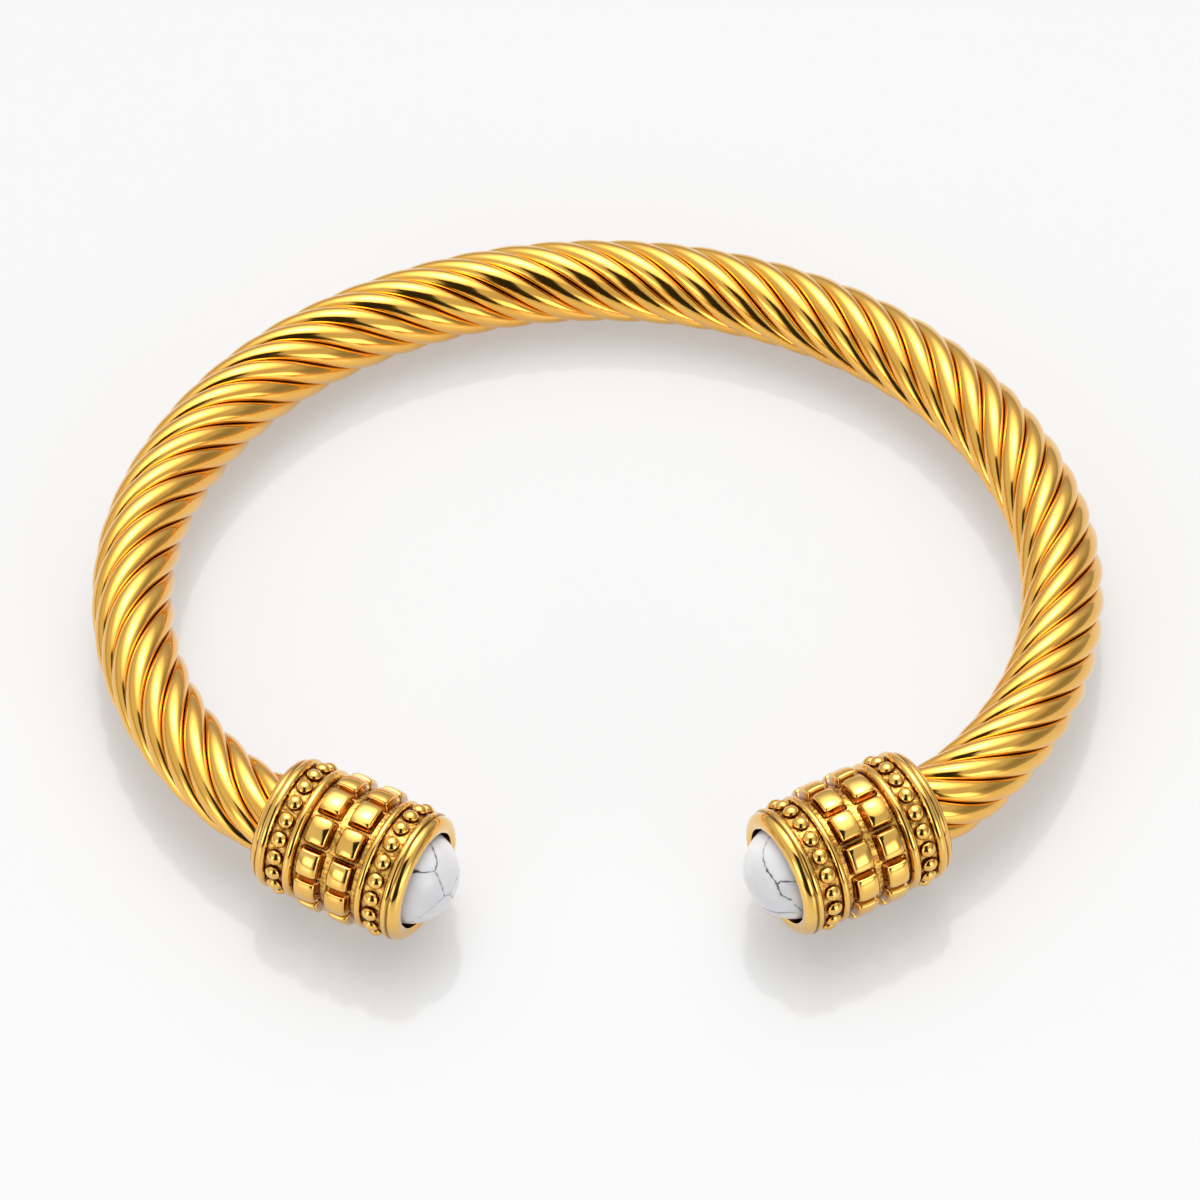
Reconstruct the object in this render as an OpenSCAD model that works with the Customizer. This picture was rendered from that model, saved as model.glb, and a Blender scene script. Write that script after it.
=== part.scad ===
// Twisted cable cuff bracelet lying on its side, with two end caps and two domed stones.
// Sizes in millimetres. The floor is z = 0, the middle of the outline is x = 0 and y = 0,
// and the opening faces -Y.

/* [Cable] */
// Outside diameter of the twisted cable
cable_d = 5.6; // [4:0.1:8]
// Number of strands seen round the cable
strand_count = 8; // [6:1:14]
// Length of cable in which a strand goes once round
lay_length = 21; // [15:0.1:60]
// Turn of the strands where the back meets the middle plane
lay_start = 1; // [0:0.5:45]
// Thickness of a strand along the radius of the cable
strand_t = 1.2; // [0.8:0.02:2]
// Length of cable held inside each end cap
grip_length = 3.2; // [1.5:0.1:4]

/* [Oval] */
// Centreline radius across the back
back_r = 35.1; // [25:0.1:50]
// Half of the turn made by the back
back_turn = 30.1; // [20:0.1:45]
// Centreline radius of the shoulders
shoulder_r = 28.6; // [20:0.1:35]
// Turn made by each shoulder
shoulder_turn = 35.3; // [30:0.1:70]
// Centreline radius of the sides
side_r = 23.4; // [15:0.1:30]
// Turn made by each side
side_turn = 68.3; // [40:0.1:80]
// Centreline radius just before the caps
neck_r = 13; // [10:0.1:25]
// Turn made just before the caps
neck_turn = 17.2; // [5:0.1:30]
// Straight length of cable in front of each cap
stand_off = 0.45; // [0.1:0.05:3]

/* [End caps] */
// Length of a cap from the cable end to the front of its lip
cap_length = 11.25; // [9:0.1:14]
// Length of a cap behind the front edge of its studs
cap_behind = 8; // [6:0.05:9]
// Radius of the plain recessed wall of a cap
wall_r = 4.1; // [3.6:0.05:5]
// Radius over the smooth ribs of a cap
rib_top_r = 4.6; // [4:0.01:5.5]
// Radius over the flat tops of the square studs
stud_top_r = 4.88; // [4:0.01:5.5]
// Number of square studs in each row
stud_count = 12; // [8:1:16]
// Turn of the first stud of the left cap
stud_turn_left = 0.6; // [0:0.1:30]
// Turn of the first stud of the right cap
stud_turn_right = 18.6; // [0:0.1:30]
// Number of round beads in each ring
bead_count = 20; // [12:1:28]
// Diameter of a round bead
bead_d = 1.1; // [0.7:0.01:1.3]
// Radius from the cap axis to the centre of a bead
bead_ring_r = 4.2; // [4:0.01:5]
// Turn of the rings of beads
bead_turn = 2.4; // [0:0.1:18]

/* [Stones] */
// Radius of the domed face of a stone
dome_r = 3.35; // [3.2:0.01:4.5]
// Radius of the straight side of a stone
stone_r = 3.22; // [2.8:0.01:3.4]
// Distance from the front edge of the studs to the tip of the stone
stone_tip = 5.25; // [4.5:0.05:6.5]

/* [Hidden] */
cable_r = cable_d / 2;
bead_r = bead_d / 2;
fine = 48;
bead_sides = 16;

// Arcs of half the oval, from the back to a cap. Columns: radius, turn
arcs = [
  [back_r, back_turn],
  [shoulder_r, shoulder_turn],
  [side_r, side_turn],
  [neck_r, neck_turn]
];
function arc_length(i) = arcs[i][0] * arcs[i][1] * PI / 180;
function arc_start(i) = i == 0 ? 0 : arc_start(i - 1) + arc_length(i - 1);
arc_total = arc_start(len(arcs));

// Point and heading [x, y, heading] after a length l along one arc that starts at p
function along(p, r, l) =
  let (h = p[2] - l / r * 180 / PI)
  [p[0] + r * (sin(p[2]) - sin(h)), p[1] + r * (cos(h) - cos(p[2])), h];
function knot(i) = i == 0 ? [0, 0, 0] : along(knot(i - 1), arcs[i - 1][0], arc_length(i - 1));
knots = [for (i = [0:len(arcs)]) knot(i)];
starts = [for (i = [0:len(arcs)]) arc_start(i)];
function ahead(p, l) = [p[0] + l * cos(p[2]), p[1] + l * sin(p[2]), p[2]];
function arc_at(l, i) = i > 0 && l < starts[i] ? arc_at(l, i - 1) : i;
function half_path(l) =
  let (i = arc_at(l, len(arcs)))
  i == len(arcs) ? ahead(knots[i], l - starts[i]) : along(knots[i], arcs[i][0], l - starts[i]);
// The whole centreline: negative lengths lead to the left cap
function path(l) =
  let (p = half_path(abs(l)))
  l >= 0 ? p : [-p[0], p[1], -p[2]];

// Along a cap's own axis, 0 is the front edge of the studs and the mouth is ahead of it
cap_back = -cap_behind;
cap_front = cap_back + cap_length;
cap_at = ahead(knots[len(arcs)], stand_off + cap_behind);
half_length = arc_total + stand_off + grip_length;

// Strand outline: an oval lobe about each strand's own axis
lobe_overlap = 1.02;
lobe_axis_r = cable_r - strand_t / 2;
lobe_half_w = lobe_axis_r * sin(180 / strand_count) * lobe_overlap;
function lobe_r(a) =
  let (c = cos(a), s = sin(a), h = strand_t / 2, w = lobe_half_w,
       qa = c * c / (h * h) + s * s / (w * w),
       qb = -2 * lobe_axis_r * c / (h * h),
       qc = lobe_axis_r * lobe_axis_r / (h * h) - 1,
       disc = qb * qb - 4 * qa * qc)
  (-qb + sqrt(max(disc, 0))) / (2 * qa);
// Points across one strand, as parts of its width counted from its crest
lobe_steps = [-0.5, -0.36, -0.19, 0, 0.19, 0.36];
lobe_pts = len(lobe_steps);
ring_pts = strand_count * lobe_pts;
ring_count = 126;
strand_turn = 360 / strand_count;
function ring_angle(j) = (floor(j / lobe_pts) + lobe_steps[j % lobe_pts]) * strand_turn;
function ring_r(j) = lobe_r(lobe_steps[j % lobe_pts] * strand_turn);
function cable_point(l, j) =
  let (p = path(l), a = lay_start + 360 * l / lay_length + ring_angle(j), r = ring_r(j))
  [p[0] - r * cos(a) * sin(p[2]), p[1] + r * cos(a) * cos(p[2]), r * sin(a)];

// Two rings of beads, the one next to the cable first: places along the cap's axis
bead_rings = [-6.12, 1.22];
// Two rows of studs: places of their middles along the cap's axis
stud_rows = [-3.61, -1.3];
// Levels of a stud from its foot up. Columns: radius, half length along the axis, half turn
stud_levels = [
  [wall_r - 0.1, 0.95, 14],
  [wall_r + 0.2, 0.82, 12.5],
  [stud_top_r - 0.14, 0.74, 11.4],
  [stud_top_r, 0.42, 6.4]
];
stud_corners = [[-1, -1], [1, -1], [1, 1], [-1, 1]];

// Plain steps of a cap under its ornament. Columns: start along the axis, end, radius
step_t = 0.2;
lip_r = 0.65;
ring_floor_r = wall_r + 0.15;
cap_steps = [
  [cap_back, cap_back + 1, wall_r - 0.05],
  [cap_back + step_t, cap_front - lip_r, wall_r],
  [-6.8, -5.2, ring_floor_r],
  [0.3, 2.3, ring_floor_r]
];
// Round bars turned about the cap. Columns: place along the axis, bar radius, radius over it
rim_rise = 0.01;
cap_bars = [
  [-7.58, 0.4, rib_top_r - 0.24],
  [-7.13, 0.35, rib_top_r + rim_rise],
  [-5.13, 0.33, rib_top_r],
  [0.28, 0.25, rib_top_r - 0.02],
  [2.29, 0.3, rib_top_r - 0.04],
  [cap_front - lip_r, lip_r, rib_top_r - 0.15]
];

// Bore for the cable, and the seat of the stone
bore_gap = 0.08;
bore_end_gap = 0.15;
seat_r = stone_r + 0.22;
seat_floor = 1.2;
seat_gap = 0.04;
past = 1;

// Rest: the studs nearer the cable and the back of the cable both touch the floor
stud_touch_y = ahead(cap_at, stud_rows[0])[1];
rest_tilt = atan((stud_top_r - cable_r) / -stud_touch_y);

// Middle of the outline from front to back: the lips reach furthest to the front
lip_bar = cap_bars[len(cap_bars) - 1];
lip_at = ahead(cap_at, lip_bar[0]);
front_y = lip_at[1] - (lip_bar[2] - lip_bar[1]) * abs(cos(lip_at[2])) - lip_bar[1];
middle_y = (front_y + cable_r) / 2 * cos(rest_tilt);

module cable() {
  pts = [for (k = [0:ring_count], j = [0:ring_pts - 1])
    cable_point(-half_length + 2 * half_length * k / ring_count, j)];
  sides = [for (k = [0:ring_count - 1], j = [0:ring_pts - 1], t = [0, 1])
    let (a = k * ring_pts + j, b = k * ring_pts + (j + 1) % ring_pts,
         c = a + ring_pts, d = b + ring_pts)
    t == 0 ? [a, c, b] : [b, c, d]];
  first = [for (j = [0:ring_pts - 1]) j];
  last = [for (j = [0:ring_pts - 1]) (ring_count + 1) * ring_pts - 1 - j];
  color("goldenrod") polyhedron(points = pts, faces = concat(sides, [first, last]));
}

// Outline of a cap turned about its axis: x is the radius, y runs along the axis
module cap_outline() {
  for (s = cap_steps) translate([0, s[0]]) square([s[2], s[1] - s[0]]);
  for (b = cap_bars) translate([b[2] - b[1], b[0]]) circle(r = b[1], $fn = fine);
}

// One stud at turn a and place y: a low cushion with four corners at each level
module stud(a, y) {
  n = len(stud_levels);
  pts = [for (v = stud_levels, c = stud_corners)
    let (b = a + c[0] * v[2])
    [v[0] * cos(b), v[0] * sin(b), y + c[1] * v[1]]];
  walls = [for (i = [0:n - 2], c = [0:3], t = [0, 1])
    let (p = 4 * i + c, q = 4 * i + (c + 1) % 4)
    t == 0 ? [p, p + 4, q] : [q, p + 4, q + 4]];
  foot = [[0, 1, 2], [0, 2, 3]];
  m = 4 * (n - 1);
  top = [[m, m + 2, m + 1], [m, m + 3, m + 2]];
  polyhedron(points = pts, faces = concat(foot, walls, top));
}

module beads() {
  for (y = bead_rings, k = [0:bead_count - 1])
    rotate([0, 0, 90 + bead_turn + k * 360 / bead_count])
      translate([bead_ring_r, 0, y])
        sphere(r = bead_r, $fn = bead_sides);
}

module cap(first_stud) {
  difference() {
    union() {
      rotate_extrude($fn = fine) cap_outline();
      for (y = stud_rows, k = [0:stud_count - 1])
        stud(-90 - first_stud - k * 360 / stud_count, y);
      beads();
    }
    translate([0, 0, cap_back - past])
      cylinder(r = cable_r + bore_gap, h = past + grip_length + bore_end_gap, $fn = fine);
    translate([0, 0, seat_floor])
      cylinder(r = seat_r, h = cap_front - seat_floor + past, $fn = fine);
  }
}

// Stone: a straight side with a round dome over it
module stone() {
  base = seat_floor + seat_gap;
  intersection() {
    translate([0, 0, stone_tip - dome_r]) sphere(r = dome_r, $fn = fine);
    translate([0, 0, base]) cylinder(r = stone_r, h = stone_tip - base + past, $fn = fine);
  }
}

// Puts a part made along +Z at the end of the cable, right or left
module at_end(side) {
  mirror([side < 0 ? 1 : 0, 0, 0])
    translate([cap_at[0], cap_at[1], 0])
      rotate([0, 0, cap_at[2]])
        rotate([0, 90, 0])
          children();
}

module resting() {
  translate([0, -middle_y, cable_r]) rotate([-rest_tilt, 0, 0]) children();
}

module end_cap_left() {
  color("gold") at_end(-1) cap(stud_turn_left);
}

module end_cap_right() {
  color("gold") at_end(1) cap(stud_turn_right);
}

module stone_left() {
  color("whitesmoke") at_end(-1) stone();
}

module stone_right() {
  color("whitesmoke") at_end(1) stone();
}

resting() cable();
resting() end_cap_left();
resting() end_cap_right();
resting() stone_left();
resting() stone_right();
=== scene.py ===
import math

import bpy
import numpy as np
from mathutils import Matrix, Vector

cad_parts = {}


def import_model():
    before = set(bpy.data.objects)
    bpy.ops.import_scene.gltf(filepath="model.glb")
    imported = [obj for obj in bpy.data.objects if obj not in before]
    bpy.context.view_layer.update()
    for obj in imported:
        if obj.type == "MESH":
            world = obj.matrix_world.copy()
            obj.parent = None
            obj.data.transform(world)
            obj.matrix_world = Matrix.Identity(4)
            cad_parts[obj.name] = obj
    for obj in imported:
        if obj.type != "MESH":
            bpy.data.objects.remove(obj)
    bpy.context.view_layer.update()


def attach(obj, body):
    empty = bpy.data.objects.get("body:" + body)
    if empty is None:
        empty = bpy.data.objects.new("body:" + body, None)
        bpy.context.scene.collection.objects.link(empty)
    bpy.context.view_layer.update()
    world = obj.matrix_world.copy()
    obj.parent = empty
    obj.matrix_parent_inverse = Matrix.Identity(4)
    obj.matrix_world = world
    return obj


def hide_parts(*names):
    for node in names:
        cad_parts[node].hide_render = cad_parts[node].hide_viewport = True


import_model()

MM = 0.001
rng = np.random.default_rng(7)

# Cable, in millimetres and degrees: the arcs of half the hoop are (radius, turn), from its back
CABLE_R = 2.8
STRANDS = 8
STRAND_T = 1.2
LOBE_OVERLAP = 1.02
LAY_LENGTH = 21.0
LAY_START = 1.0
ARCS = [(35.1, 30.1), (28.6, 35.3), (23.4, 68.3), (13.0, 17.2)]
STAND_OFF = 0.45
GRIP = 3.2

# Caps: places along a cap's axis count from the origin of its frame, toward the mouth
CAP_BEHIND = 8.0
CAP_LENGTH = 11.25
CAP_BACK = -CAP_BEHIND
CAP_FRONT = CAP_BACK + CAP_LENGTH
WALL_R = 4.1
BACK_R = WALL_R - 0.05
RIB_TOP_R = 4.6
LIP_R = 0.65
LIP_TOP_R = 4.45
LIP_AT = CAP_FRONT - LIP_R
BORE_R = 2.88
BORE_SPARE = 0.15
SEAT_R = 3.44
SEAT_EDGE = 0.06
SEAT_FLOOR = 1.2

# Studs: a face or foot is (degrees to each side round the cap, millimetres to each side along it)
STUD_TOP_R = 4.88
STUD_COUNT = 12
STUD_ROWS = [-3.61, -1.3]
STUD_FACE = (11.4, 0.74)
STUD_FOOT = (14.0, 0.95)
STUD_CROWN = 0.22
STUD_SWELL = 2.6
STUD_CORNER = 0.18
STUD_BEVEL = 0.12
STUD_FLARE = 1.7
STUD_SUNK = 0.02

# Beads
BEAD_COUNT = 20
BEAD_RINGS = [-6.12, 1.22]
BEAD_R = 0.55
BEAD_RISE = 0.5
BEAD_WALL = 0.2
BEAD_SKIRT = 0.15
BEAD_TURN = 2.4
BEAD_SIZES = (0.97, 1.0)
RING_FLOOR_R = 4.25

# Stones
DOME_R = 3.35
STONE_R = 3.22
STONE_TIP = 5.25
STONE_BASE = 1.24
DOME_AT = STONE_TIP - DOME_R


# Centreline of the cable, as in the solids
def arc_step(p, r, l):
    """Place and heading at a length l along an arc of radius r that starts at p."""
    h = p[2] - l / r
    return (p[0] + r * (np.sin(p[2]) - np.sin(h)), p[1] + r * (np.cos(h) - np.cos(p[2])), h)


knots = [(0.0, 0.0, 0.0)]
starts = [0.0]
for arc_r, arc_turn in ARCS:
    length = arc_r * math.radians(arc_turn)
    knots.append(tuple(float(v) for v in arc_step(knots[-1], arc_r, length)))
    starts.append(starts[-1] + length)
ARC_TOTAL = starts[-1]
HALF = ARC_TOTAL + STAND_OFF + GRIP


def path(l):
    """Place and heading of the centreline at lengths l from the back of the cuff."""
    a = np.abs(l)
    x, y, h = (np.zeros_like(a) for _ in range(3))
    for i, start in enumerate(starts):
        m = a >= start
        if i < len(ARCS):
            q = arc_step(knots[i], ARCS[i][0], a[m] - start)
        else:
            k = knots[i]
            d = a[m] - start
            q = (k[0] + d * np.cos(k[2]), k[1] + d * np.sin(k[2]), np.full_like(d, k[2]))
        x[m], y[m], h[m] = q
    s = np.where(l < 0, -1.0, 1.0)
    return x * s, y, h * s


# Place of the caps, and rest on the two lowest studs and the back of the cable, with the origin
# at floor level under the middle of the outline
HEADING = knots[-1][2]
AHEAD = STAND_OFF + CAP_BEHIND
CAP_AT = (knots[-1][0] + AHEAD * math.cos(HEADING), knots[-1][1] + AHEAD * math.sin(HEADING))
touch_y = CAP_AT[1] + STUD_ROWS[0] * math.sin(HEADING)
TILT = math.atan((STUD_TOP_R - CABLE_R) / -touch_y)
lip_y = CAP_AT[1] + LIP_AT * math.sin(HEADING)
lip_centre_r = LIP_TOP_R - LIP_R
front_y = lip_y - lip_centre_r * abs(math.cos(HEADING)) - LIP_R
MIDDLE_Y = (front_y + CABLE_R) / 2 * math.cos(TILT)
REST = Matrix.Translation((0, -MIDDLE_Y, CABLE_R)) @ Matrix.Rotation(-TILT, 4, "X")


def at_end(side):
    """Frame of the cap on the left (-1) or the right (1): +Z along its axis, toward the mouth."""
    m = Matrix.Translation((CAP_AT[0], CAP_AT[1], 0)) @ Matrix.Rotation(HEADING, 4, "Z")
    m = m @ Matrix.Rotation(math.radians(90), 4, "Y")
    if side < 0:
        m = Matrix.Scale(-1, 4, (1, 0, 0)) @ m
    return REST @ m


def moved(points, m):
    a = np.array(m)
    return points @ a[:3, :3].T + a[:3, 3]


def new_piece(name, points, faces, node, material, matrix, sharp, floats, uv=None):
    """A mesh from points in millimetres, placed by matrix, riding on the root body. Edges that
    bend by more than sharp degrees stay crisp, and floats are values for the materials."""
    if matrix.determinant() < 0:
        faces = [tuple(f)[::-1] for f in faces]
    mesh = bpy.data.meshes.new(name)
    mesh.from_pydata((moved(points, matrix) * MM).tolist(), [], [tuple(map(int, f)) for f in faces])
    mesh.update()
    mesh.shade_smooth()
    mesh.set_sharp_from_angle(angle=math.radians(sharp))
    for key, values in floats.items():
        mesh.attributes.new(key, "FLOAT", "POINT").data.foreach_set(
            "value", np.asarray(values, np.float32))
    if uv is not None:
        corner = np.empty(len(mesh.loops), np.int64)
        mesh.loops.foreach_get("vertex_index", corner)
        layer = mesh.uv_layers.new(name="UVMap")
        layer.data.foreach_set("uv", uv[corner].astype(np.float32).ravel())
    o = bpy.data.objects.new(name, mesh)
    bpy.context.scene.collection.objects.link(o)
    o.data.materials.append(material)
    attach(o, "root")
    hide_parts(node)


def joined(parts):
    """Several (points, faces) as one."""
    points, faces, n = [], [], 0
    for p, f in parts:
        points.append(p)
        faces += [tuple(i + n for i in q) for q in f]
        n += len(p)
    return np.concatenate(points), faces


def tube_faces(rings, seg):
    """Faces of a closed tube: its points are rings of seg points each, then one in each end."""
    k, j = np.meshgrid(np.arange(rings - 1), np.arange(seg), indexing="ij")
    a = k * seg + j
    b = k * seg + (j + 1) % seg
    faces = np.stack([a, b, b + seg, a + seg], -1).reshape(-1, 4).tolist()
    n, last = rings * seg, (rings - 1) * seg
    for j in range(seg):
        k = (j + 1) % seg
        faces.append((n, k, j))
        faces.append((n + 1, last + j, last + k))
    return faces


def lathe(profile, seg):
    """Solid turned about +Z from an outline of (radius, z) that starts and ends on the axis."""
    prof = np.array(profile)
    body = prof[1:-1]
    a = np.arange(seg) * 2 * np.pi / seg
    pts = np.stack([
        body[:, :1] * np.cos(a), body[:, :1] * np.sin(a), np.repeat(body[:, 1:], seg, 1)
    ], -1).reshape(-1, 3)
    ends = np.array([[0, 0, prof[0][1]], [0, 0, prof[-1][1]]])
    return np.concatenate([pts, ends]), tube_faces(len(body), seg)


# Materials
class Graph:
    """Short way to add nodes to a tree."""

    def __init__(self, tree):
        self.t = tree

    def node(self, kind, inputs=None, **settings):
        n = self.t.nodes.new(kind)
        for k, v in settings.items():
            setattr(n, k, v)
        for k, v in (inputs or {}).items():
            if isinstance(v, bpy.types.NodeSocket):
                self.t.links.new(v, n.inputs[k])
            else:
                n.inputs[k].default_value = v
        return n

    def noise(self, vector, scale, detail=2.0, rough=0.5):
        return self.node("ShaderNodeTexNoise", {
            "Vector": vector, "Scale": scale, "Detail": detail, "Roughness": rough
        }).outputs["Fac"]

    def range(self, value, a, b, c, d, kind="LINEAR"):
        """The value's range from a to b as a range from c to d."""
        return self.node("ShaderNodeMapRange", {
            "Value": value, "From Min": a, "From Max": b, "To Min": c, "To Max": d
        }, interpolation_type=kind).outputs["Result"]

    def smooth(self, value, a, b, c, d):
        return self.range(value, a, b, c, d, "SMOOTHSTEP")

    def math(self, op, a, b=0.0):
        return self.node("ShaderNodeMath", {0: a, 1: b}, operation=op).outputs[0]

    def mix(self, fac, a, b):
        n = self.node("ShaderNodeMix", data_type="RGBA")
        for key, v in (("Factor_Float", fac), ("A_Color", a), ("B_Color", b)):
            s = next(x for x in n.inputs if x.identifier == key)
            if isinstance(v, bpy.types.NodeSocket):
                self.t.links.new(v, s)
            else:
                s.default_value = v
        return next(x for x in n.outputs if x.identifier == "Result_Color")

    def bump(self, height, strength, distance, normal=None):
        inputs = {"Height": height, "Strength": strength, "Distance": distance}
        if normal is not None:
            inputs["Normal"] = normal
        return self.node("ShaderNodeBump", inputs).outputs["Normal"]


class Material(Graph):
    """A new material with one principled shader."""

    def __init__(self, name):
        self.m = bpy.data.materials.new(name)
        self.m.use_nodes = True
        super().__init__(self.m.node_tree)
        self.t.nodes.clear()
        out = self.t.nodes.new("ShaderNodeOutputMaterial")
        self.bsdf = self.node("ShaderNodeBsdfPrincipled")
        self.t.links.new(self.bsdf.outputs["BSDF"], out.inputs["Surface"])

    def link(self, socket, name):
        self.t.links.new(socket, self.bsdf.inputs[name])

    def attribute(self, name):
        return self.node("ShaderNodeAttribute", attribute_name=name).outputs["Fac"]

    def place(self):
        return self.node("ShaderNodeTexCoord").outputs["Object"]


GOLD = (0.98, 0.53, 0.05, 1)
GOLD_DEEP = (0.94, 0.46, 0.03, 1)
CAP_GOLD_LIGHT = (0.98, 0.58, 0.09, 1)
CAP_GOLD_DEEP = (0.93, 0.49, 0.055, 1)
RECESS = (0.42, 0.15, 0.02, 1)
RECESS_LIGHT = (0.95, 0.57, 0.10, 1)
# Painted shade: the dark brown laid into the cable's grooves and into the caps' crevices and feet
CREVICE_SHADE = (0.14, 0.035, 0.003, 1)
STONE_WHITE = (0.88, 0.88, 0.90, 1)
STONE_GREY = (0.78, 0.78, 0.81, 1)
VEIN = (0.05, 0.05, 0.055, 1)
COAT = 0.85


def lacquered(g):
    """Metal under clear gloss."""
    g.bsdf.inputs["Metallic"].default_value = 1
    g.bsdf.inputs["Coat Weight"].default_value = COAT
    g.bsdf.inputs["Coat IOR"].default_value = 1.75
    g.bsdf.inputs["Coat Roughness"].default_value = 0.05


def cable_gold():
    """Polished gold with fine streaks along the strands, and painted shade, dark brown, in the grooves.
    """
    g = Material("cable_gold_polished")
    uv = g.node("ShaderNodeUVMap", uv_map="UVMap").outputs["UV"]
    place = g.place()
    groove = g.attribute("groove")
    wave = g.noise(place, 260, 2)
    along = g.node("ShaderNodeMapping", {"Vector": uv, "Scale": (1, 9, 1)}).outputs[0]
    streak = g.noise(along, 2.2, 3)
    polished = g.mix(g.range(wave, 0.35, 0.7, 0, 1), GOLD, GOLD_DEEP)
    # Painted shade: the base colour turns dark brown toward the bottom of each groove between strands
    dark = g.smooth(groove, 0.35, 0.95, 0, 1)
    g.link(g.mix(dark, polished, CREVICE_SHADE), "Base Color")
    rough = g.range(streak, 0.3, 0.75, 0.09, 0.16)
    g.link(g.math("ADD", rough, g.math("MULTIPLY", dark, 0.25)), "Roughness")
    n = g.bump(g.noise(place, 420, 1), 0.05, 0.0004)
    n = g.bump(streak, 0.03, 0.0001, n)
    g.link(n, "Normal")
    lacquered(g)
    return g.m


def cap_gold():
    """Polished gold on what stands out, grained brown gold in the recesses, and painted shade, dark
    brown, on the stud walls, at each foot and in crevices.
    """
    g = Material("cap_gold_cast")
    place = g.place()
    recess = g.attribute("recess")
    # Painted shade: dark brown where ambient occlusion finds surfaces close by and along each foot, for
    # shadow in the crevices; beads take a fifth of the occlusion part
    near = g.node("ShaderNodeAmbientOcclusion", {"Distance": 0.0003}, samples=8).outputs["AO"]
    shade_share = g.math("SUBTRACT", 1.0, g.attribute("unshaded"))
    crevice_shade = g.math("MULTIPLY", g.smooth(near, 0.90, 0.58, 0, 1), shade_share)
    crevice_shade = g.math("MAXIMUM", crevice_shade, g.attribute("foot"))
    wave = g.noise(place, 300, 2)
    grain = g.noise(place, 3200, 3)
    polished = g.mix(g.range(wave, 0.35, 0.7, 0, 1), CAP_GOLD_LIGHT, CAP_GOLD_DEEP)
    low = g.mix(g.range(grain, 0.36, 0.56, 0, 1), RECESS, RECESS_LIGHT)
    colour = g.mix(recess, polished, low)
    # Painted shade: the stud walls go dark brown, as steep sides turned from the light
    colour = g.mix(g.attribute("wall"), colour, RECESS)
    g.link(g.mix(crevice_shade, colour, CREVICE_SHADE), "Base Color")
    base = g.range(g.noise(place, 700, 2), 0.3, 0.7, 0.05, 0.12)
    g.link(g.math("ADD", base, g.math("MULTIPLY", recess, 0.18)), "Roughness")
    n = g.bump(g.noise(place, 500, 1), 0.06, 0.0004)
    n = g.bump(g.math("MULTIPLY", grain, recess), 0.6, 0.00012, n)
    g.link(n, "Normal")
    lacquered(g)
    bare = g.math("MAXIMUM", g.math("MULTIPLY", recess, 0.8), crevice_shade)
    g.link(g.math("MULTIPLY", COAT, g.math("SUBTRACT", 1.0, bare)), "Coat Weight")
    return g.m


def white_stone():
    """Polished white stone with grey veins, and light that goes a little way in."""
    g = Material("white_stone_veined")
    vein = g.attribute("vein")
    cloud = g.noise(g.place(), 350, 4, 0.6)
    body = g.mix(g.range(cloud, 0.4, 0.75, 0, 1), STONE_WHITE, STONE_GREY)
    g.link(g.mix(vein, body, VEIN), "Base Color")
    g.link(g.range(cloud, 0.3, 0.7, 0.16, 0.26), "Roughness")
    g.link(g.bump(g.math("MULTIPLY", vein, -1.0), 0.3, 0.00005), "Normal")
    g.bsdf.inputs["IOR"].default_value = 1.57
    g.bsdf.inputs["Subsurface Weight"].default_value = 0.12
    g.bsdf.inputs["Subsurface Radius"].default_value = (1.0, 0.9, 0.85)
    g.bsdf.inputs["Subsurface Scale"].default_value = 0.0008
    return g.m


CABLE_GOLD = cable_gold()
CAP_GOLD = cap_gold()
WHITE_STONE = white_stone()


# Cable: eight round strands twisted right-handed
LOBE_STEPS = 16
CABLE_RINGS = 740
GROOVE = 0.075
GROOVE_STEP = 0.035


def lobe_r(a):
    """Radius of the cable at an angle a from the middle of a strand, whose section is an ellipse."""
    c, s = np.cos(a), np.sin(a)
    h = STRAND_T / 2
    axis_r = CABLE_R - h
    w = axis_r * math.sin(math.pi / STRANDS) * LOBE_OVERLAP
    qa = c * c / (h * h) + s * s / (w * w)
    qb = -2 * axis_r * c / (h * h)
    qc = axis_r * axis_r / (h * h) - 1
    return (-qb + np.sqrt(np.maximum(qb * qb - 4 * qa * qc, 0))) / (2 * qa)


def cable():
    turn = 2 * np.pi / STRANDS
    inner, outer = 0.5 - GROOVE, 0.5 - GROOVE_STEP
    steps = np.concatenate([[-0.5, -outer], np.linspace(-inner, inner, LOBE_STEPS - 3), [outer]])
    local = (np.arange(STRANDS)[:, None] + steps).ravel() * turn
    radius = np.tile(lobe_r(steps * turn), STRANDS)
    l = np.linspace(-HALF, HALF, CABLE_RINGS)
    x, y, h = (v[:, None] for v in path(l))
    a = math.radians(LAY_START) + 2 * np.pi * l[:, None] / LAY_LENGTH + local
    out, up = radius * np.cos(a), radius * np.sin(a)
    pts = np.stack([x - out * np.sin(h), y + out * np.cos(h), up], -1).reshape(-1, 3)
    seg = len(local)
    ends = np.array([[x[0, 0], y[0, 0], 0], [x[-1, 0], y[-1, 0], 0]])
    # How deep in a groove each point lies, 1 at its bottom, for the painted shade there
    groove = np.tile(np.clip((np.abs(steps) - 0.5 + GROOVE) / GROOVE, 0, 1), STRANDS)
    groove = np.tile(groove, CABLE_RINGS)
    u = np.repeat(l[:, None], seg, 1).ravel()
    v = np.tile(local, CABLE_RINGS)
    uv = np.concatenate([np.stack([u, v], -1), [[-HALF, 0], [HALF, 0]]])
    new_piece("cable_strands", np.concatenate([pts, ends]), tube_faces(CABLE_RINGS, seg), "cable",
              CABLE_GOLD, REST, sharp=50, floats={"groove": np.append(groove, [0, 0])},
              uv=uv)


cable()


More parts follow.
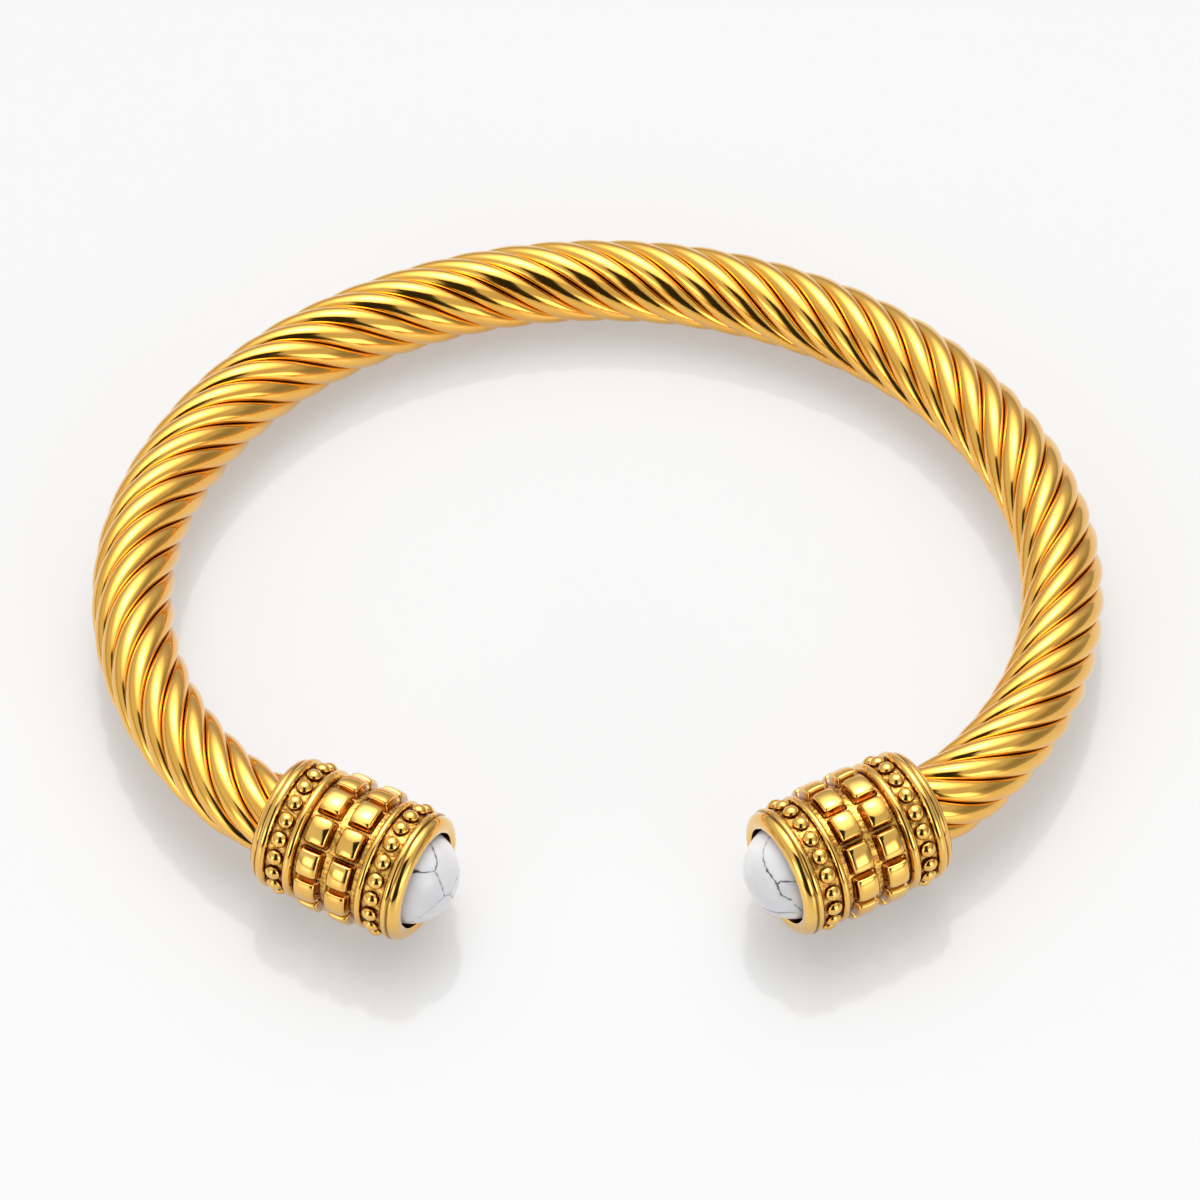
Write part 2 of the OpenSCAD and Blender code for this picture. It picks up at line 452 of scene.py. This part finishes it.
# End caps: plain steps are (from, to, radius), round bars are (place, radius of the bar, outer radius)
CAP_STEPS = [
    (CAP_BACK + 0.2, LIP_AT, WALL_R),
    (-6.8, -5.2, WALL_R + 0.15),
    (0.3, 2.3, WALL_R + 0.15),
]
CAP_BARS = [
    (-7.58, 0.4, RIB_TOP_R - 0.24),
    (-7.13, 0.35, RIB_TOP_R + 0.01),
    (-5.13, 0.33, RIB_TOP_R),
    (0.28, 0.25, RIB_TOP_R - 0.02),
    (2.29, 0.3, RIB_TOP_R - 0.04),
    (LIP_AT, LIP_R, LIP_TOP_R),
]
CAP_SEGMENTS = 150
PROFILE_STEP = 0.004
PROFILE_TOLERANCE = 0.003
LIP_POINTS = 60
INNER_BEND = 25
FOOT_LINE = 0.13


def simplified(line, tolerance):
    """Outline with the points left out that lie within tolerance of the rest."""
    keep = np.zeros(len(line), bool)
    keep[[0, -1]] = True
    stack = [(0, len(line) - 1)]
    while stack:
        i, j = stack.pop()
        if j - i < 2:
            continue
        d = line[j] - line[i]
        n = np.array([-d[1], d[0]]) / (np.hypot(*d) + 1e-12)
        off = np.abs((line[i + 1:j] - line[i]) @ n)
        k = int(off.argmax()) + i + 1
        if off[k - i - 1] > tolerance:
            keep[k] = True
            stack += [(i, k), (k, j)]
    return line[keep]


def with_feet(line):
    """The outline with extra points beside its inner corners, and those corners."""
    step = np.diff(line, axis=0)
    way = np.arctan2(step[:, 1], step[:, 0])
    bend = np.degrees((np.diff(way) + np.pi) % (2 * np.pi) - np.pi)
    corners = line[1:-1][bend < -INNER_BEND]
    out = [line[0]]
    for a, b in zip(line[:-1], line[1:]):
        length = np.hypot(*(b - a))
        for q in (FOOT_LINE / 2, FOOT_LINE, length - FOOT_LINE, length - FOOT_LINE / 2):
            near = q < length / 2 and np.hypot(*(corners - a).T).min() < 1e-6
            near = near or (q > length / 2 and np.hypot(*(corners - b).T).min() < 1e-6)
            if near and 0 < q < length:
                out.append(a + (b - a) * q / length)
        out.append(b)
    return np.array(out), corners


def cap_profile():
    """Outline of a cap's body from bore to seat, its inner corners, and the top of its seat's wall."""
    t = np.arange(CAP_BACK, LIP_AT, PROFILE_STEP)
    r = np.full_like(t, BACK_R)
    for a, b, radius in CAP_STEPS:
        r = np.where((t >= a) & (t <= b), np.maximum(r, radius), r)
    for at, bar, top in CAP_BARS:
        inside = bar * bar - (t - at) ** 2
        r = np.where(inside > 0, np.maximum(r, top - bar + np.sqrt(np.maximum(inside, 0))), r)
    outer = np.stack([r, t], -1)
    end = math.acos((SEAT_R - LIP_TOP_R + LIP_R) / LIP_R)
    a = np.linspace(0, end, LIP_POINTS)[1:]
    lip = np.stack([LIP_TOP_R - LIP_R + LIP_R * np.cos(a), LIP_AT + LIP_R * np.sin(a)], -1)
    line, corners = with_feet(simplified(np.concatenate([outer, lip]), PROFILE_TOLERANCE))
    bore_end = CAP_BACK + GRIP + BORE_SPARE
    bore = [(0, bore_end), (BORE_R, bore_end), (BORE_R, CAP_BACK)]
    seat_top = line[-1][1] - SEAT_EDGE
    seat = [(SEAT_R, seat_top), (SEAT_R, SEAT_FLOOR), (0, SEAT_FLOOR)]
    return bore + line.tolist() + seat, corners, seat_top


# Rings of points round a stud: on its crowned face, at its edge and down its flared walls.
# Those at the edge are (degrees inside the face, millimetres inside it, crown's share, wall's share)
FACE_RINGS = np.linspace(0.12, 1, 9)[:-1]
EDGE_RINGS = [(1.1, 0.09, 0.9, 0), (0.9, 0.07, 0.92, 0.01), (-0.2, -0.02, 1, STUD_BEVEL)]
WALL_RINGS = np.linspace(0.25, 1, 5)
CORNERS = np.array([[1, 1], [-1, 1], [-1, -1], [1, -1]]) * (1 - STUD_CORNER)
CORNER_STEPS = 4
SIDE_STEPS = 6


def stud_outline():
    """A square from -1 to 1 with round corners."""
    outline = []
    for c in range(4):
        mid, after = CORNERS[c], CORNERS[(c + 1) % 4]
        for k in range(CORNER_STEPS + 1):
            t = math.radians(90 * c + 90 * k / CORNER_STEPS)
            outline.append(mid + STUD_CORNER * np.array([math.cos(t), math.sin(t)]))
        last = outline[-1]
        for k in range(1, SIDE_STEPS):
            outline.append(last + (after - mid) * k / SIDE_STEPS)
    return np.array(outline)


def stud(a0, z0):
    """A square cushion with a crisp edge on a flared foot."""
    outline = stud_outline()
    around = len(outline)
    wide, long = STUD_FACE
    rings = [(q * wide, q * long, q, 0) for q in FACE_RINGS]
    rings += [(wide - turn, long - half, q, down) for turn, half, q, down in EDGE_RINGS]
    for q in WALL_RINGS:
        out = q ** STUD_FLARE
        rings.append((wide + (STUD_FOOT[0] - wide) * out, long + (STUD_FOOT[1] - long) * out, 1, q))
    pts = [[STUD_TOP_R * math.cos(a0), STUD_TOP_R * math.sin(a0), z0]]
    for turn, half, q, down in rings:
        ang = a0 + np.radians(turn) * outline[:, 0]
        crown = (np.abs(outline * q) ** STUD_SWELL).sum(1) / 2
        r = STUD_TOP_R - STUD_CROWN * crown
        r = r + (WALL_R - STUD_SUNK - r) * down
        pts += np.stack([r * np.cos(ang), r * np.sin(ang), z0 + half * outline[:, 1]], -1).tolist()
    faces = []
    for j in range(around):
        k = (j + 1) % around
        faces.append((0, 1 + j, 1 + k))
        for i in range(len(rings) - 1):
            a, b = 1 + i * around, 1 + (i + 1) * around
            faces.append((a + j, b + j, b + k, a + k))
    base = 1 + (len(rings) - 1) * around
    faces.append(tuple(base + j for j in range(around))[::-1])
    return np.array(pts), faces


def stud_tones():
    """How much painted shade, dark brown, each point of a stud's walls has, and how much painted shade
    each point at its foot has.
    """
    around = len(stud_outline())
    bright = np.zeros(len(FACE_RINGS) + len(EDGE_RINGS))
    wall = np.concatenate([bright, [0.6, 0.8, 0.8, 0.8, 0.8]])
    foot = np.concatenate([bright, [0, 0, 0, 0.5, 0.9]])
    return [np.concatenate([[0], np.repeat(ring, around)]) for ring in (wall, foot)]


BEAD_SEGMENTS = 28
BEAD_STEPS = 10


def bead(a0, z0, size):
    """A low round dome on the floor of its ring, and how much painted shade each point at its foot
    gets.
    """
    dome = BEAD_RISE - BEAD_WALL
    ball_r = (BEAD_R ** 2 + dome ** 2) / (2 * dome)
    edge = math.asin(BEAD_R / ball_r)
    wall_r = BEAD_R + 0.01
    prof = [(0, -BEAD_SKIRT), (wall_r, -BEAD_SKIRT), (wall_r, 0), (wall_r, BEAD_WALL / 2)]
    for v in np.linspace(edge, 0, BEAD_STEPS):
        prof.append((ball_r * math.sin(v), BEAD_RISE - ball_r * (1 - math.cos(v))))
    p, f = lathe(prof, BEAD_SEGMENTS)
    p = p * size
    out = np.array([math.cos(a0), math.sin(a0), 0])
    side = np.array([-math.sin(a0), math.cos(a0), 0])
    place = p[:, :1] * side + (RING_FLOOR_R + p[:, 2:]) * out
    place[:, 2] += z0 + p[:, 1]
    # Painted shade at the bead's foot, strongest at the floor of its ring
    foot = np.clip((BEAD_WALL - p[:, 2]) / BEAD_WALL, 0, 1) ** 0.5
    return place, f, foot


# Tone of a cap's body: matt in the recesses, from the first to the last place along it, and painted
# shade, dark, in a line along each inner corner and down the seat's wall
RECESS_R = RIB_TOP_R - 0.21
RECESS_FADE = 0.14
RECESS_ENDS = (CAP_BACK + 0.6, CAP_FRONT - 1.0)
STUD_RECESS_R = WALL_R + 0.2
STUD_RECESS_FADE = 0.15
# Share of the occlusion's painted shade that the beads are spared
BEAD_UNSHADED = 0.8
FOOT_SHADE = 0.9
FOOT_EVEN = 0.15


def body_tones(points, corners, seat_top):
    r, z = np.hypot(points[:, 0], points[:, 1]), points[:, 2]
    low, high = RECESS_ENDS
    recess = np.clip((RECESS_R - r) / RECESS_FADE, 0, 1) * (z < high) * (z > low)
    # Painted shade in a line along each inner corner, and all down the seat's wall
    gap = np.hypot(r[:, None] - corners[:, 0], z[:, None] - corners[:, 1]).min(1)
    foot = np.clip(1 + FOOT_EVEN - gap / FOOT_LINE, 0, FOOT_SHADE)
    foot[(r < SEAT_R + 0.001) & (z > 0) & (z < seat_top + 0.001)] = 1
    return {"recess": recess, "foot": foot}


def cap(side, first_stud):
    tag = "left" if side < 0 else "right"
    node = "end_cap_" + tag
    m = at_end(side)
    profile, corners, seat_top = cap_profile()
    pts, faces = lathe(profile, CAP_SEGMENTS)
    new_piece("cap_body_" + tag, pts, faces, node, CAP_GOLD, m, sharp=35,
              floats=body_tones(pts, corners, seat_top))
    studs = [stud(math.radians(-90 - first_stud - k * 360 / STUD_COUNT), z)
             for z in STUD_ROWS for k in range(STUD_COUNT)]
    wall, foot = (np.tile(v, len(studs)) for v in stud_tones())
    pts, faces = joined(studs)
    r = np.hypot(pts[:, 0], pts[:, 1])
    recess = np.clip((STUD_RECESS_R - r) / STUD_RECESS_FADE, 0, 1)
    new_piece("cap_studs_" + tag, pts, faces, node, CAP_GOLD, m, sharp=60,
              floats={"recess": recess, "wall": wall, "foot": foot})
    beads = [bead(math.radians(90 + BEAD_TURN + k * 360 / BEAD_COUNT), z, rng.uniform(*BEAD_SIZES))
             for z in BEAD_RINGS for k in range(BEAD_COUNT)]
    pts, faces = joined([b[:2] for b in beads])
    foot = np.concatenate([b[2] for b in beads])
    # The beads carry painted shade at their feet and take less of the occlusion's painted shade
    new_piece("cap_beads_" + tag, pts, faces, node, CAP_GOLD, m, sharp=60,
              floats={"foot": foot, "unshaded": np.full(len(pts), BEAD_UNSHADED)})


# Turn of each cap's first stud about its axis, in degrees
FIRST_STUDS = {-1: 0.6, 1: 18.6}
for side, first_stud in FIRST_STUDS.items():
    cap(side, first_stud)

# Stones: each vein has a strength and points (x, y, half width) seen along the stone's axis
VEINS_LEFT = [
    (1.0, [(-3.1, -1.2, 0.06), (-2.96, -0.68, 0.06), (-2.81, -0.35, 0.055), (-2.62, -0.08, 0.05),
           (-2.44, 0.37, 0.05), (-2.4, 0.65, 0.06)]),
    (1.0, [(-2.7, 1.75, 0.1), (-2.71, 1.44, 0.1), (-2.63, 1.25, 0.07), (-2.5, 0.93, 0.045),
           (-2.4, 0.65, 0.06)]),
    (0.75, [(-2.4, 0.65, 0.06), (-2.15, 0.64, 0.05), (-1.64, 0.8, 0.045), (-1.09, 0.88, 0.045),
            (-0.55, 0.93, 0.05)]),
    (0.7, [(-0.55, 0.93, 0.05), (-0.31, 0.53, 0.06), (0.11, 0.24, 0.05), (0.72, -0.03, 0.06),
           (1.17, -0.07, 0.05)]),
    (0.35, [(-0.55, 0.93, 0.06), (-0.41, 1.44, 0.07), (-0.05, 2.03, 0.06), (0.25, 2.33, 0.05),
            (0.65, 2.61, 0.04)]),
    (0.7, [(1.32, 2.8, 0.07), (1.09, 2.65, 0.05)]),
    (0.35, [(1.17, -0.07, 0.05), (1.4, 0.34, 0.05), (1.7, 0.99, 0.05), (1.9, 1.55, 0.04)]),
    (0.7, [(1.17, -0.07, 0.05), (1.5, -0.9, 0.06), (1.3, -1.8, 0.05), (1.6, -2.7, 0.07)]),
    (0.6, [(1.5, -0.9, 0.05), (2.2, -0.8, 0.05), (3.0, -1.1, 0.07)]),
    (0.5, [(-0.31, 0.53, 0.04), (-0.7, -0.6, 0.05), (-0.4, -1.6, 0.05), (-0.9, -2.9, 0.06)]),
]
VEINS_RIGHT = [
    (0.7, [(-2.98, -1.3, 0.05), (-2.81, -0.9, 0.05), (-2.64, -0.56, 0.045), (-2.44, -0.01, 0.06)]),
    (1.0, [(-2.44, -0.01, 0.06), (-2.2, 0.74, 0.075), (-1.98, 1.36, 0.07), (-1.8, 1.72, 0.09)]),
    (1.0, [(-2.05, 2.5, 0.09), (-2.04, 2.04, 0.08), (-1.95, 1.84, 0.07), (-1.8, 1.72, 0.08)]),
    (1.0, [(-1.8, 1.72, 0.08), (-1.55, 1.91, 0.09), (-1.16, 2.24, 0.09), (-0.97, 2.52, 0.06),
           (-0.86, 2.74, 0.05)]),
    (1.0, [(1.31, 0.58, 0.05), (0.95, 1.43, 0.07), (0.77, 2.1, 0.07), (0.49, 2.62, 0.06),
           (0.31, 3.15, 0.07)]),
    (1.0, [(0.95, 1.43, 0.06), (0.97, 1.84, 0.06), (1.24, 2.11, 0.08)]),
    (0.9, [(0.31, 3.15, 0.07), (0.07, 3.1, 0.07), (-0.41, 2.93, 0.05)]),
    (0.6, [(1.31, 0.58, 0.04), (1.0, -0.5, 0.05), (1.5, -1.6, 0.06), (1.3, -2.9, 0.06)]),
    (0.6, [(1.0, -0.5, 0.05), (0.1, -0.9, 0.05), (-0.5, -1.9, 0.06), (-0.2, -3.0, 0.06)]),
    (0.5, [(1.5, -1.6, 0.05), (2.3, -1.3, 0.05), (2.9, -1.2, 0.06)]),
]


def disc_grid(n):
    """Even grid of a square mapped onto the unit disc: points (r, angle), quads, points of the edge."""
    g = np.linspace(-1, 1, n + 1)
    a, b = np.meshgrid(g, g, indexing="ij")
    big = np.abs(a) > np.abs(b)
    safe_a, safe_b = np.where(a == 0, 1e-9, a), np.where(b == 0, 1e-9, b)
    r = np.where(big, a, b)
    th = np.where(big, np.pi / 4 * b / safe_a, np.pi / 2 - np.pi / 4 * a / safe_b)
    i, j = np.meshgrid(np.arange(n), np.arange(n), indexing="ij")
    k = i * (n + 1) + j
    quads = np.stack([k, k + n + 1, k + n + 2, k + 1], -1).reshape(-1, 4)
    edge = [(i * (n + 1)) for i in range(n)] + [n * (n + 1) + j for j in range(n)]
    edge += [(n - i) * (n + 1) + n for i in range(n)] + [n - j for j in range(n)]
    return r.ravel(), th.ravel(), quads, edge


# Veins wander by small waves, each (size, waves along x, y and z), and their width swells too
WANDER = [(0.022, (13, 9, 6)), (0.012, (-31, 27, 19))]
SWELL = (0.25, (7, 4, 9))
CORE = 1.35
HALO_TONE, HALO_WIDTH = 0.12, 3.2
STONE_GRID = 200
STONE_LEVELS = [2.3, 1.7, STONE_BASE]


def wave(points, size, way):
    return size * np.sin(points @ np.array(way, float))


def vein_field(points, veins):
    """How dark each point is with veins: 0 away from them, the vein's strength on its line."""
    out = np.zeros(len(points))
    shift = points + sum(wave(points, *w) for w in WANDER)[:, None]
    swell = 0.9 + wave(points, *SWELL)
    for strength, line in veins:
        p = np.array(line)
        z = DOME_AT + np.sqrt(np.maximum(DOME_R ** 2 - p[:, 0] ** 2 - p[:, 1] ** 2, 0))
        knots3 = np.stack([p[:, 0], p[:, 1], z], -1)
        for a, b, wa, wb in zip(knots3[:-1], knots3[1:], p[:-1, 2], p[1:, 2]):
            d = b - a
            t = np.clip(((shift - a) @ d) / (d @ d), 0, 1)
            dist = np.linalg.norm(shift - a - t[:, None] * d, axis=1)
            w = (wa + (wb - wa) * t) * swell
            core = np.clip(CORE - dist / w, 0, 1)
            halo = HALO_TONE * np.exp(-(dist / (HALO_WIDTH * w)) ** 2)
            out = np.maximum(out, strength * np.maximum(core, halo))
    return out


def stone(side, veins):
    """A domed stone, with straight walls below the dome."""
    tag = "left" if side < 0 else "right"
    r, th, quads, edge = disc_grid(STONE_GRID)
    phi = r * math.asin(STONE_R / DOME_R)
    out = DOME_R * np.sin(phi)
    pts = np.stack([out * np.cos(th), out * np.sin(th), DOME_AT + DOME_R * np.cos(phi)], -1)
    faces = quads.tolist()
    ring = pts[edge]
    prev, all_pts, n = list(edge), [pts], len(pts)
    for z in STONE_LEVELS:
        row = ring.copy()
        row[:, 2] = z
        all_pts.append(row)
        cur = list(range(n, n + len(row)))
        for j in range(len(row)):
            k = (j + 1) % len(row)
            faces.append((prev[j], cur[j], cur[k], prev[k]))
        prev, n = cur, n + len(row)
    faces.append(tuple(prev[::-1]))
    pts = np.concatenate(all_pts)
    new_piece("stone_dome_" + tag, pts, faces, "stone_" + tag, WHITE_STONE,
              at_end(side), sharp=35, floats={"vein": vein_field(pts, veins)})


stone(-1, VEINS_LEFT)
stone(1, VEINS_RIGHT)


# Floor: pale and glossy, with a little light of its own, as an overexposed studio table has
FLOOR_HALF = 3.0
FLOOR_GREY = (0.42, 0.42, 0.42, 1)
FLOOR_GLOW = 0.36


def floor():
    g = Material("floor_white_gloss")
    g.bsdf.inputs["Base Color"].default_value = FLOOR_GREY
    g.bsdf.inputs["Roughness"].default_value = 0.10
    g.bsdf.inputs["IOR"].default_value = 1.3
    g.bsdf.inputs["Emission Color"].default_value = (1, 1, 1, 1)
    g.bsdf.inputs["Emission Strength"].default_value = FLOOR_GLOW
    mesh = bpy.data.meshes.new("floor")
    s = FLOOR_HALF
    mesh.from_pydata([(-s, -s, 0), (s, -s, 0), (s, s, 0), (-s, s, 0)], [], [(0, 1, 2, 3)])
    o = bpy.data.objects.new("floor", mesh)
    bpy.context.scene.collection.objects.link(o)
    o.data.materials.append(g.m)


floor()


# Light: a bright tent, a round softbox overhead, two panels beside the camera, a dark gap between.
# Turns are in radians from the camera's side, rises are heights on the unit sphere, and places
# and sizes overhead are on a flat map of the dome, with the zenith at 0 and the horizon at 1
TENT_RISE = (0.0, 0.5)
TENT_LOW, TENT_HIGH = 0.42, 0.70
TENT_LEFT, TENT_RIGHT = 1.06, 0.9
# Panels: (turn, half width, brightness)
PANELS = [(-0.77, 0.20, 2.4), (0.72, 0.30, 2.4)]
PANEL_RISE = (0.08, 0.50)
PANEL_SOFT = (0.14, 0.1)
# A dimmer stretch low on the right side
SIDE = (1.2, 2.3)
SIDE_RISE = (0.12, 0.5)
SIDE_SOFT = (0.25, 0.12)
SIDE_LEVEL = 0.3
# The softbox brightens inward: (radius, softness, brightness)
OVERHEAD_AT = (0.0, 0.28)
OVERHEAD = [(0.44, 0.06, 1.05), (0.36, 0.10, 1.7), (0.24, 0.12, 2.6), (0.13, 0.10, 7.0)]
# The dark gap is a wedge down to the camera's side, with a bar across its upper end
GAP = (-0.44, 0.34)
GAP_SOFT = 0.08
GAP_BOTTOM = -1.2
GAP_BAR_X = (-0.20, 0.17)
GAP_BAR_Y = (-0.42, -0.14)
GAP_BAR_SOFT = (0.03, 0.015)
GAP_LEVEL = 0.025


def world():
    """The studio's light by direction, each patch laid over those before it."""
    w = bpy.data.worlds.new("studio")
    bpy.context.scene.world = w
    w.use_nodes = True
    g = Graph(w.node_tree)
    way = g.node("ShaderNodeTexCoord").outputs["Generated"]
    x, y, z = g.node("ShaderNodeSeparateXYZ", {0: way}).outputs

    def size(a, b):
        return g.math("SQRT", g.math("ADD", g.math("MULTIPLY", a, a), g.math("MULTIPLY", b, b)))

    flat = g.math("MAXIMUM", size(x, y), 0.001)
    fall = g.math("DIVIDE", g.math("MULTIPLY", g.math("ARCCOSINE", z), 2 / math.pi), flat)
    mx, my = g.math("MULTIPLY", x, fall), g.math("MULTIPLY", y, fall)

    def box(value, low, high, soft):
        a = g.smooth(value, low - soft, low + soft, 0, 1)
        b = g.smooth(value, high - soft, high + soft, 1, 0)
        return g.math("MULTIPLY", a, b)

    def lit(strength, mask, under):
        return g.math("ADD", under, g.math("MULTIPLY", mask, g.math("SUBTRACT", strength, under)))

    turn = g.math("ARCTAN2", x, g.math("MULTIPLY", y, -1.0))
    level = g.smooth(z, *TENT_RISE, TENT_LOW, TENT_HIGH)
    level = g.math("MULTIPLY", level, g.smooth(x, -1.0, 1.0, TENT_LEFT, TENT_RIGHT))
    soft_turn, soft_rise = SIDE_SOFT
    low_side = g.math("MULTIPLY", box(turn, *SIDE, soft_turn), box(z, *SIDE_RISE, soft_rise))
    level = lit(SIDE_LEVEL, low_side, level)
    soft_turn, soft_rise = PANEL_SOFT
    for at, width, strength in PANELS:
        across = box(turn, at - width, at + width, soft_turn)
        level = lit(strength, g.math("MULTIPLY", across, box(z, *PANEL_RISE, soft_rise)), level)
    off = size(g.math("SUBTRACT", mx, OVERHEAD_AT[0]), g.math("SUBTRACT", my, OVERHEAD_AT[1]))
    for radius, soft, strength in OVERHEAD:
        level = lit(strength, g.smooth(off, radius - soft, radius + soft, 1, 0), level)
    soft_x, soft_y = GAP_BAR_SOFT
    bar = g.math("MULTIPLY", box(mx, *GAP_BAR_X, soft_x), box(my, *GAP_BAR_Y, soft_y))
    down = box(my, GAP_BOTTOM, GAP_BAR_Y[1], soft_y)
    wedge = g.math("MULTIPLY", box(turn, *GAP, GAP_SOFT), down)
    level = lit(GAP_LEVEL, g.math("MAXIMUM", bar, wedge), level)
    bg = g.t.nodes["Background"]
    g.t.links.new(level, bg.inputs["Color"])
    bg.inputs["Strength"].default_value = 1.0


world()
bpy.context.scene.view_settings.view_transform = "Standard"

# Camera: the photograph's viewpoint, in the frame of the untilted cuff. Before its small turn
# about +Z it looks down on (-VIEW_X, -VIEW_Y), where VIEW_SCALE pixels of the photograph are 1 mm
PHOTO_PX = 1200
VIEW_SCALE = 14.811
VIEW_DISTANCE = 1120.0
VIEW_DOWN = math.radians(51.79)
VIEW_TURN = 0.0013
VIEW_ROLL = -0.01128
VIEW_X, VIEW_Y = -0.174, 27.884
SENSOR = 36


def camera():
    d = bpy.data.cameras.new("camera")
    d.sensor_fit = "HORIZONTAL"
    d.sensor_width = SENSOR
    d.lens = SENSOR * VIEW_SCALE * VIEW_DISTANCE / PHOTO_PX
    d.clip_start, d.clip_end = 0.05, 20
    o = bpy.data.objects.new("camera", d)
    bpy.context.scene.collection.objects.link(o)
    look = Vector((0, math.cos(VIEW_DOWN), -math.sin(VIEW_DOWN)))
    right = Vector((1, 0, 0))
    up = Vector((0, math.sin(VIEW_DOWN), math.cos(VIEW_DOWN)))
    c, s = math.cos(VIEW_ROLL), math.sin(VIEW_ROLL)
    right, up = c * right + s * up, c * up - s * right
    turn = Matrix.Rotation(-VIEW_TURN, 3, "Z")
    place = turn @ (-VIEW_DISTANCE * look - Vector((VIEW_X, VIEW_Y, 0)))
    axes = [REST.to_3x3() @ (turn @ v) for v in (right, up, -look)]
    m = Matrix(axes).transposed().to_4x4()
    m.translation = (REST @ place) * MM
    o.matrix_world = m
    bpy.context.scene.camera = o


camera()
